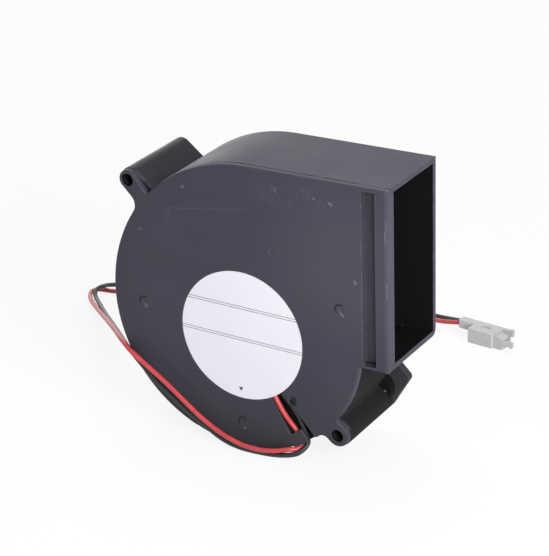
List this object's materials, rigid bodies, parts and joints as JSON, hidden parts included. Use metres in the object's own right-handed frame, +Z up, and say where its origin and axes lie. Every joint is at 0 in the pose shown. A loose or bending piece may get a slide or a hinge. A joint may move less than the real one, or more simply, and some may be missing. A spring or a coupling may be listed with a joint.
{
  "type": "centrifugal blower fan",
  "caption": "Flat dc centrifugal blower: moulded scroll with a rectangular side outlet, round inlet eye, brushless motor under a round label, and two loose leads to a small connector.",
  "frame": {"origin": "on the surface that the fan stands on, under the middle of the housing's width and depth", "axes": "+Z up as the fan stands, +X out of the outlet, +Y from the labelled cover to the inlet eye, along the rotor's axis"},
  "size_m": [0.1645, 0.1217, 0.096],
  "materials": {
    "housing": "fine-textured black moulded plastic",
    "impeller": "smooth black moulded plastic",
    "label": "matt white paper label, bare",
    "brass": "turned brass",
    "bearing_steel": "ground bright steel",
    "lamination": "stacked silicon steel",
    "cup_steel": "pressed steel",
    "clip": "pale engineering plastic",
    "insulator": "natural nylon",
    "winding": "enamelled copper wire",
    "solder": "tinned metal",
    "board": "green circuit board",
    "chip": "black chip package",
    "ceramic_chip": "brown ceramic chip",
    "magnet": "bonded ferrite",
    "red_lead": "soft red insulation",
    "black_lead": "soft black insulation",
    "connector": "natural off-white nylon"
  },
  "bodies": {
    "frame": {"scroll_housing": "housing", "motor_side_cover": "housing", "label": "label", "bearing_tube": "brass", "lower_bearing_outer_ring": "bearing_steel", "upper_bearing_outer_ring": "bearing_steel", "stator_core": "lamination", "lower_insulator": "insulator", "upper_insulator": "insulator", "stator_coils": "winding", "terminal_pins": "solder", "circuit_board": "board", "driver_ic": "chip", "capacitors": "ceramic_chip", "resistors": "chip", "hall_sensor": "chip", "solder_posts": "solder", "red_lead": "red_lead", "black_lead": "black_lead", "connector_housing": "connector", "connector_terminals": "brass"},
    "rotor": {"impeller": "impeller", "rotor_cup": "cup_steel", "magnet_ring": "magnet", "rotor_bush": "brass", "shaft": "bearing_steel", "lower_bearing_inner_ring": "bearing_steel", "upper_bearing_inner_ring": "bearing_steel", "retaining_clip": "clip", "washer": "clip", "preload_spring": "cup_steel"},
    "bearing_cages": {"lower_bearing_balls": "bearing_steel", "upper_bearing_balls": "bearing_steel", "lower_bearing_cage": "cup_steel", "upper_bearing_cage": "cup_steel"}
  },
  "joints": [
    {"name": "rotor_spin", "type": "hinge", "parent": "frame", "child": "rotor", "pos_m": [-0.0021, 0, 0.0391], "axis": [0, 1, 0], "continuous": true},
    {"name": "cage_spin", "type": "hinge", "parent": "frame", "child": "bearing_cages", "pos_m": [-0.0021, 0, 0.0391], "axis": [0, 1, 0], "continuous": true}
  ],
  "couplings": [
    {"joint": "cage_spin", "follows": "rotor_spin", "ratio": 0.38}
  ]
}
